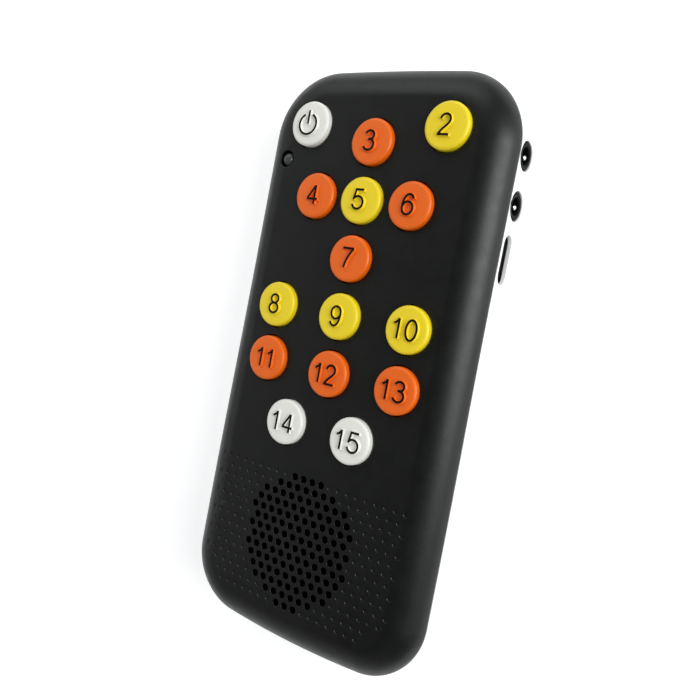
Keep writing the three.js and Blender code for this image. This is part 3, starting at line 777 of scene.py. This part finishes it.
# Centre lines of each digit's strokes, in a box from (0, 0) to (1, 1).
STROKES = {
    "0": [arc(0.5, 0.5, 0.5, 0.5, 0, 360, 36)],
    "1": [[(1, 0), (1, 1)], bezier((1, 0.99), (0.78, 0.86), (0.5, 0.78), (0, 0.74))],
    "2": [
        arc(0.5, 0.73, 0.46, 0.27, 172, 0, 18)
        + bezier((0.96, 0.73), (0.96, 0.5), (0.2, 0.28), (0.03, 0.02)),
        [(-0.08, 0), (1, 0)],
    ],
    "3": [
        arc(0.47, 0.77, 0.43, 0.23, 160, -75, 20),
        arc(0.48, 0.28, 0.5, 0.28, 95, -160, 24),
        [(0.36, 0.55), (0.6, 0.55)],
    ],
    "4": [[(0.76, 0), (0.76, 1)], [(0.72, 0.98), (0.02, 0.29)], [(-0.04, 0.27), (1.08, 0.27)]],
    "5": [
        [(0.92, 1), (0.2, 1)],
        [(0.24, 1.05), (0.08, 0.46)],
        bezier((0.07, 0.5), (0.22, 0.64), (0.4, 0.66), (0.52, 0.65))
        + arc(0.5, 0.325, 0.48, 0.325, 88, -165, 24)[1:],
    ],
    "6": [
        arc(0.52, 0.32, 0.46, 0.32, 0, 360, 30),
        bezier((0.94, 0.8), (0.84, 1.12), (0.04, 1.14), (0.06, 0.36), 20),
    ],
    "7": [[(0, 1), (1.04, 1)], bezier((1, 0.99), (0.62, 0.66), (0.38, 0.34), (0.34, 0))],
    "8": [arc(0.5, 0.77, 0.4, 0.23, 0, 360, 28), arc(0.5, 0.27, 0.48, 0.27, 0, 360, 30)],
}
STROKES["9"] = [[(1 - x, 1 - y) for x, y in run] for run in STROKES["6"]]


def digit_runs(text):
    """Stroke centre lines for a number, in millimetres about the cap's centre."""
    widths = [DIGIT_WIDTHS.get(digit, DIGIT_WIDTH) for digit in text]
    total = sum(widths) + (DIGIT_GAP + STROKE) * (len(text) - 1)
    runs = []
    left = -total / 2
    for digit, width in zip(text, widths):
        for run in STROKES[digit]:
            runs.append([(left + x * width, (y - 0.5) * DIGIT_HEIGHT) for x, y in run])
        left += width + DIGIT_GAP + STROKE
    return runs


def power_runs():
    """The usual power mark: a ring open at the top, with a bar through the opening."""
    return [arc(0, -0.35, 2.3, 2.3, 116, 424, 44), [(0, -0.3), (0, 2.75)]]


def ribbon(run, width):
    """Quads along a centre line, as (points, faces)."""
    points = []
    last = len(run) - 1
    closed = hypot(run[0][0] - run[-1][0], run[0][1] - run[-1][1]) < 1e-6
    for i, (x, y) in enumerate(run):
        before = run[i - 1] if i else (run[-2] if closed else run[0])
        after = run[i + 1] if i < last else (run[1] if closed else run[-1])
        along = Vector((after[0] - before[0], after[1] - before[1])).normalized()
        across = Vector((-along.y, along.x)) * (width / 2)
        points += [(x + across.x, y + across.y), (x - across.x, y - across.y)]
    return points, [(2 * i, 2 * i + 1, 2 * i + 3, 2 * i + 2) for i in range(last)]


def stroke_solid(name, runs, width, low, high, centre, spread=0):
    """One flat-topped solid over the union of the strokes, its foot `spread` wider all round."""
    coords = []
    quads = []
    for run in runs:
        points, faces = ribbon(run, width)
        quads += [[len(coords) + i for i in face] for face in faces]
        coords += points
    result = delaunay_2d_cdt([Vector(c) for c in coords], [], quads, 1, 1e-4)
    flat = [tuple(v) for v in result[0]]
    triangles = []
    for face, covered_by in zip(result[2], result[5]):
        if not covered_by:
            continue
        (ax, ay), (bx, by), (cx, cy) = (flat[i] for i in face)
        turn = (bx - ax) * (cy - ay) - (by - ay) * (cx - ax)
        if abs(turn) > 1e-9:
            triangles.append(list(face) if turn > 0 else list(reversed(face)))
    directed = {(t[i], t[(i + 1) % 3]) for t in triangles for i in range(3)}
    rim = [(a, b) for a, b in directed if (b, a) not in directed]
    count = len(flat)
    outward = [Vector((0, 0)) for _ in flat]
    for a, b in rim:
        along = (Vector(flat[b]) - Vector(flat[a])).normalized()
        for corner in (a, b):
            outward[corner] += Vector((along.y, -along.x))
    foot = [Vector(p) + n.normalized() * spread for p, n in zip(flat, outward)]
    points = [(centre[0] + x, centre[1] + y, low) for x, y in foot]
    points += [(centre[0] + x, centre[1] + y, high) for x, y in flat]
    faces = [[i + count for i in t] for t in triangles]
    faces += [list(reversed(t)) for t in triangles]
    faces += [[a, b, b + count, a + count] for a, b in sorted(rim)]
    return mesh_object(name, points, faces)


# ---------------------------------------------------------------- key caps


def cap_profile(bottom, top):
    shoulder = (CAP_RADIUS - CAP_EDGE_ACROSS, top - CAP_EDGE_DOWN)
    edge = arc(*shoulder, CAP_EDGE_ACROSS, CAP_EDGE_DOWN, 0, 90, 12)
    flange_low, flange_high = FLANGE
    profile = [(0, bottom), (STEM_RADIUS - 0.15, bottom), (STEM_RADIUS, bottom + 0.15)]
    profile += [(STEM_RADIUS, flange_low), (FLANGE_RADIUS - 0.1, flange_low)]
    profile += [(FLANGE_RADIUS, flange_low + 0.1), (FLANGE_RADIUS, flange_high - 0.1)]
    profile += [(FLANGE_RADIUS - 0.1, flange_high), (CAP_RADIUS + 0.02, flange_high)]
    return profile + edge + [(CAP_RADIUS * 0.5, top), (0, top)]


def key(name):
    low, high = box_mm(name)
    centre = centre_mm(name)
    cap = lathe(f"{name}_cap", cap_profile(low.z, high.z), 96, (centre.x, centre.y, 0))
    soften(cap, 40)
    applied(cap)
    runs = power_runs() if name == "power_button" else digit_runs(name.split("_")[1])
    crown = high.z + RELIEF
    relief = stroke_solid(f"{name}_relief", runs, STROKE, high.z - 0.05, crown, centre, DRAFT)
    mark = stroke_solid(f"{name}_mark", runs, STROKE, crown - PRINT, crown + PRINT, centre)
    for part in (relief, mark):
        soften(part, 35)
    applied(relief)
    joined(cap, [relief])
    return cap, mark


# ---------------------------------------------------------------- small pieces


def indicator():
    low, high = box_mm("indicator_led")
    at = centre_mm("indicator_led")
    flange = high.x - at.x
    body = flange - 0.5
    dome = [(r, high.z - body + h) for r, h in arc(0, 0, body, body, 0, 90, 16)]
    profile = [(0, low.z), (flange - 0.05, low.z), (flange, low.z + 0.05)]
    profile += [(flange, low.z + 0.75), (flange - 0.05, low.z + 0.8)]
    profile += [(body, low.z + 0.8), *dome[:-1], (0, high.z)]
    return soften(lathe("indicator_lens", profile, 48, (at.x, at.y, 0)))


def socket(node):
    low, high = box_mm(node)
    at = centre_mm(node)
    shoulder = high.x - 2.05
    body = block(f"{node}_body", (low.x, low.y, low.z), (shoulder, high.y, high.z))
    bevelled(body, 0.3)
    nose = high.x
    collar = [(0, shoulder - 0.5), (SOCKET_NOSE, shoulder - 0.5), (SOCKET_NOSE, nose - 0.15)]
    collar += [(SOCKET_NOSE - 0.05, nose - 0.05), (SOCKET_NOSE - 0.15, nose), (0, nose)]
    bore = [(0, low.x + 1), (SOCKET_BORE, low.x + 1), (SOCKET_BORE, nose - 0.25)]
    mouth = SOCKET_BORE + 0.3
    bore += [(SOCKET_BORE + 0.08, nose - 0.1), (mouth, nose), (mouth, nose + 1), (0, nose + 1)]
    combined(body, [lathe("collar", collar, 64, (0, at.y, at.z), "X")], "UNION")
    combined(body, [lathe("bore", bore, 48, (0, at.y, at.z), "X")], "DIFFERENCE")
    return soften(body)


def socket_contact(node):
    low, high = box_mm(node)
    at = centre_mm(node)
    leaf = block(f"{node}_leaf", (low.x, low.y + 0.05, low.z), (high.x, high.y - 0.05, low.z + 0.25))
    bevelled(leaf, 0.05)
    nub = [(0, -0.5)]
    nub += [(0.75 * cos(radians(t)), 0.72 * sin(radians(t))) for t in (0, 15, 30, 45, 60, 75)]
    nub.append((0, 0.72))
    bump = lathe("bump", nub, 32, (high.x - 0.5, at.y, low.z + 0.2))
    combined(leaf, [bump], "UNION")
    return soften(leaf, 50)


def slide_knob():
    low, high = box_mm("slide_knob")
    at = centre_mm("slide_knob")
    middle = low.z + PLATE_HALF
    front = high.x - LUG_STAND
    back = front - PLATE_THICK
    plate = block("slide_knob_moulding", (back, low.y, low.z), (front, high.y, high.z))
    bevelled(plate, 0.15)
    peg = block("peg", (low.x, at.y - 1, middle - 0.7), (back + 0.1, at.y + 1, middle + 0.7))
    lug = block("lug", (front - 0.1, at.y - 1.6, middle + 0.1), (high.x, at.y + 1.6, middle + 1.8))
    bevelled(lug, 0.12)
    combined(plate, [peg, lug], "UNION")
    ribs = []
    for i in range(3):
        y = at.y + 0.8 * (i - 1)
        ribs.append(block("rib_gap", (high.x - 0.15, y - 0.15, middle), (high.x + 1, y + 0.15, middle + 2)))
    combined(plate, ribs, "DIFFERENCE")
    return soften(plate)


def screw(node, head_radius, head_height, shank):
    """A cross-head screw, head towards the back, with a cut thread."""
    low, high = box_mm(node)
    at = centre_mm(node)
    z = low.z
    crown = 0.25
    profile = [(0, z), (head_radius * 0.55, z + 0.02), (head_radius * 0.85, z + crown * 0.45)]
    profile += [(head_radius, z + crown), (head_radius, z + head_height), (shank, z + head_height)]
    level = z + head_height + 0.6
    while level < high.z - 1.2:
        profile += [(shank - 0.2, level), (shank + 0.02, level + 0.22), (shank - 0.2, level + 0.45)]
        level += 0.6
    profile += [(shank * 0.7, high.z - 0.6), (0, high.z)]
    made = lathe(f"{node}_turned", profile, 40, (at.x, at.y, 0))
    arm = head_radius * 0.55
    deep = min(head_height * 0.75, 0.7)
    cuts = []
    for along, across in ((arm, 0.19), (0.19, arm)):
        top = [(-along, -across), (along, -across), (along, across), (-along, across)]
        rings = []
        for share, level in ((1.25, z - 0.4), (1, z), (0.55, z + deep)):
            rings.append([(at.x + x * share, at.y + y * share, level) for x, y in top])
        cuts.append(loft("recess", rings))
    combined(made, cuts, "DIFFERENCE")
    return soften(made)


def speaker_parts():
    """Finer turnings of the speaker's visible pieces, as {node: object}."""
    at = centre_mm("speaker_cone")
    z = box_mm("speaker_cone")[0].z
    cone = [(0, z + 1.9), (1.6, z + 1.8), (3, z + 1.2), (4.3, z + 0.15), (4.6, z), (9.6, z + 1.6)]
    cone += [(10.6, z + 2.2), (11.4, z + 2.6), (12.2, z + 2.4), (12.8, z + 2.7), (12.8, z + 2.9)]
    cone += [(12.2, z + 2.7), (11.4, z + 2.88), (10.5, z + 2.6), (9.5, z + 2), (4.6, z + 0.5)]
    cone += [(3.1, z + 1.6), (1.7, z + 2.1), (0, z + 2.2)]
    made = {"speaker_cone": lathe("speaker_cone_pressing", cone, 72, (0, at.y, 0))}
    low, high = box_mm("speaker_gasket")
    ring = [(14.4, low.z), (16, low.z), (16, high.z), (14.4, high.z), (14.4, low.z)]
    made["speaker_gasket"] = lathe("speaker_gasket_ring", ring, 72, (0, at.y, 0))
    low, high = box_mm("speaker_magnet")
    magnet = [(0, low.z), (8, low.z), (8.5, low.z + 0.5), (8.5, high.z), (0, high.z)]
    made["speaker_magnet"] = lathe("speaker_magnet_turned", magnet, 72, (0, at.y, 0))
    for piece in made.values():
        soften(piece)
    return made


# ---------------------------------------------------------------- materials


def finish_material(name, colour, roughness, grain=0.3, bump=0.01, mottle=0.05, wear=0.06, **sockets):
    """A moulded or metal finish: fine grain in the bump, slow drifts in colour and gloss.

    Grain and bump are in millimetres. Colour is linear.
    """
    material = bpy.data.materials.new(name)
    material.use_nodes = True
    tree = material.node_tree
    shader = tree.nodes["Principled BSDF"]
    for socket_name, value in sockets.items():
        shader.inputs[socket_name.replace("_", " ")].default_value = value
    place = tree.nodes.new("ShaderNodeTexCoord").outputs["Object"]

    def noise(size, detail):
        node = tree.nodes.new("ShaderNodeTexNoise")
        node.inputs["Scale"].default_value = 1 / (size * TO_METRES)
        node.inputs["Detail"].default_value = detail
        tree.links.new(place, node.inputs["Vector"])
        return node.outputs["Fac"]

    drift = tree.nodes.new("ShaderNodeValToRGB")
    for element, share in zip(drift.color_ramp.elements, (1 - mottle, 1 + mottle)):
        element.color = (*[min(c * share, 1) for c in colour], 1)
    drift.color_ramp.elements[0].position = 0.3
    drift.color_ramp.elements[1].position = 0.7
    tree.links.new(noise(6, 3), drift.inputs["Fac"])
    tree.links.new(drift.outputs["Color"], shader.inputs["Base Color"])

    gloss = tree.nodes.new("ShaderNodeMapRange")
    gloss.inputs["From Min"].default_value = 0.3
    gloss.inputs["From Max"].default_value = 0.7
    gloss.inputs["To Min"].default_value = roughness - wear
    gloss.inputs["To Max"].default_value = roughness + wear
    tree.links.new(noise(2.2, 5), gloss.inputs["Value"])
    tree.links.new(gloss.outputs["Result"], shader.inputs["Roughness"])

    relief = tree.nodes.new("ShaderNodeBump")
    relief.inputs["Strength"].default_value = 1
    relief.inputs["Distance"].default_value = bump * TO_METRES
    tree.links.new(noise(grain, 2), relief.inputs["Height"])
    tree.links.new(relief.outputs["Normal"], shader.inputs["Normal"])
    return material


FINISHES = {
    "cover_black": finish_material(
        "black_case", (0.0062, 0.0072, 0.0062), 0.42, 0.3, 0.017, 0.15, 0.03, Specular_IOR_Level=0.42,
    ),
    "cover_white": finish_material("white_case", (0.83, 0.83, 0.81), 0.4, 0.4, 0.006, 0.01),
    "cap_white": finish_material("white_cap", (0.76, 0.755, 0.7), 0.42, 0.3, 0.003, 0.012, 0.03),
    "cap_yellow": finish_material("yellow_cap", (0.8, 0.61, 0.01), 0.42, 0.3, 0.003, 0.015, 0.03),
    "cap_orange": finish_material("orange_cap", (0.78, 0.123, 0.001), 0.42, 0.3, 0.003, 0.015, 0.03),
    "lens": finish_material("lens", (0.055, 0.058, 0.055), 0.3, 1.0, 0.004, 0.1, 0.05),
    "board": finish_material("solder_mask", (0.02, 0.16, 0.05), 0.42, 0.4, 0.01, 0.1),
    "silicone": finish_material("silicone", (0.33, 0.34, 0.33), 0.6, 0.5, 0.01, 0.04),
    "black_plastic": finish_material(
        "black_fitting", (0.0025, 0.0025, 0.0025), 0.5, 0.3, 0.004, 0.1, 0.04, Specular_IOR_Level=0.06,
    ),
    "plated": finish_material("nickel", (0.78, 0.77, 0.74), 0.2, 0.2, 0.002, 0.02, 0.05, Metallic=1),
    "steel": finish_material("zinc", (0.5, 0.51, 0.52), 0.34, 0.3, 0.004, 0.05, 0.08, Metallic=1),
    "foam": finish_material("foam", (0.02, 0.02, 0.02), 0.9, 0.4, 0.08, 0.2),
    "paper": finish_material("cone_paper", (0.016, 0.016, 0.017), 0.8, 0.25, 0.03, 0.2),
    "lead_red": finish_material("red_lead", (0.5, 0.02, 0.02), 0.45, 0.3, 0.004, 0.05),
    "lead_black": finish_material("black_lead", (0.02, 0.02, 0.02), 0.45, 0.3, 0.004, 0.1),
    "cell_wrap": finish_material("cell_wrap", (0.03, 0.09, 0.3), 0.3, 2.0, 0.004, 0.08),
}
INK = finish_material("ink", (0.004, 0.004, 0.004), 0.5, 0.2, 0.004, 0.15, Specular_IOR_Level=0.2)


def dressed(piece, slot, material=None):
    piece.data.materials.clear()
    piece.data.materials.append(material or FINISHES[slot])
    return piece


def placed(piece, node, material=None):
    """Dresses a piece, puts it on its node's body, and lets it stand for the node."""
    dressed(piece, SLOTS[node], material)
    body = next(b for b, members in frame["record"]["behaviour"]["bodies"].items() if node in members)
    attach(piece, body)
    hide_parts(node)
    return piece


# ---------------------------------------------------------------- the object

cover = front_cover()
post_top = INNER_FACE + 0.4
cover_posts = [tube("post", p, POST_RADIUS, PILOT, COVER_LOW.z, post_top) for p in POSTS]
cover_posts += [
    tube("board_post", p, BOARD_POST_RADIUS, PILOT, BOARD_POST_FOOT, post_top) for p in BOARD_POSTS
]
joined(cover, [applied(p) for p in cover_posts])
placed(cover, "front_cover")
placed(rear_cover(), "rear_cover")
placed(battery_door(), "battery_door")

for node in KEYS:
    cap, mark = key(node)
    placed(cap, node)
    dressed(mark, "black_plastic", INK)
    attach(mark, node)

placed(indicator(), "indicator_led")
for node in ("upper_socket", "lower_socket"):
    placed(socket(node), node)
    placed(socket_contact(f"{node}_contact"), f"{node}_contact")
placed(slide_knob(), "slide_knob")
for node in SLOTS:
    for kind, (head_radius, head_height) in SCREW_HEADS.items():
        if node.startswith(kind):
            placed(screw(node, head_radius, head_height, SHANK), node)
for node, piece in speaker_parts().items():
    placed(piece, node)

for node, shown in frame["nodes"].items():
    if not shown.hide_render:
        shown.data.materials.clear()
        shown.data.materials.append(FINISHES[SLOTS[node]])

# ---------------------------------------------------------------- floor, light and camera


def floor():
    """A wide pale slab just under the object."""
    half = 1500
    made = block("floor", (-half, -half, -5), (half, half, -0.02))
    material = finish_material("floor", (0.93, 0.93, 0.93), 0.7, 3.0, 0.01, 0.005, 0.03)
    shader = material.node_tree.nodes["Principled BSDF"]
    shader.inputs["Emission Color"].default_value = (1, 1, 1, 1)
    shader.inputs["Emission Strength"].default_value = 0.3
    made.data.materials.append(material)


def direction_of(azimuth, elevation):
    a, e = radians(azimuth), radians(elevation)
    return Vector((cos(e) * cos(a), cos(e) * sin(a), sin(e)))


def area_light(name, direction, distance, size, power, tint=(1, 1, 1)):
    data = bpy.data.lights.new(name, "AREA")
    data.shape = "RECTANGLE"
    data.size, data.size_y = size
    data.energy = power
    data.color = tint
    light = bpy.data.objects.new(name, data)
    light.location = Vector(direction).normalized() * distance
    light.rotation_euler = Vector(direction).to_track_quat("Z", "Y").to_euler()
    bpy.context.scene.collection.objects.link(light)


floor()
area_light("window", direction_of(12, 27), 0.7, (0.4, 0.42), 4.1, (0.97, 1, 1))
area_light("back_window", direction_of(106, 30), 0.8, (0.6, 0.4), 1.4, (0.97, 1, 1))
area_light("left_fill", direction_of(172, 32), 1.5, (2.4, 1.0), 5.2, (0.98, 1, 0.99))
area_light("foot_fill", direction_of(248, 16), 1.2, (1.5, 0.5), 0.9, (0.98, 1, 0.99))

world = bpy.data.worlds.new("studio")
world.use_nodes = True
backdrop = world.node_tree.nodes["Background"]
backdrop.inputs["Color"].default_value = (0.97, 0.98, 1, 1)
backdrop.inputs["Strength"].default_value = 0.46
bpy.context.scene.world = world
world.cycles_visibility.glossy = False
bpy.context.scene.view_settings.view_transform = "Standard"

CAMERA_PLACE = Vector((0.09297, 0.01023, 0.15466))
CAMERA_RIGHT = Vector((0.81776, 0.18899, -0.54364))
CAMERA_UP = Vector((-0.18215, 0.98098, 0.06702))
camera_data = bpy.data.cameras.new("camera")
camera_data.lens = 39.25
camera_data.sensor_width = 36
camera_data.clip_start = 0.005
camera = bpy.data.objects.new("camera", camera_data)
back = CAMERA_RIGHT.cross(CAMERA_UP).normalized()
right = CAMERA_UP.cross(back).normalized()
turn = Matrix((right, back.cross(right), back)).transposed()
camera.matrix_world = Matrix.Translation(CAMERA_PLACE) @ turn.to_4x4()
bpy.context.scene.collection.objects.link(camera)
bpy.context.scene.camera = camera
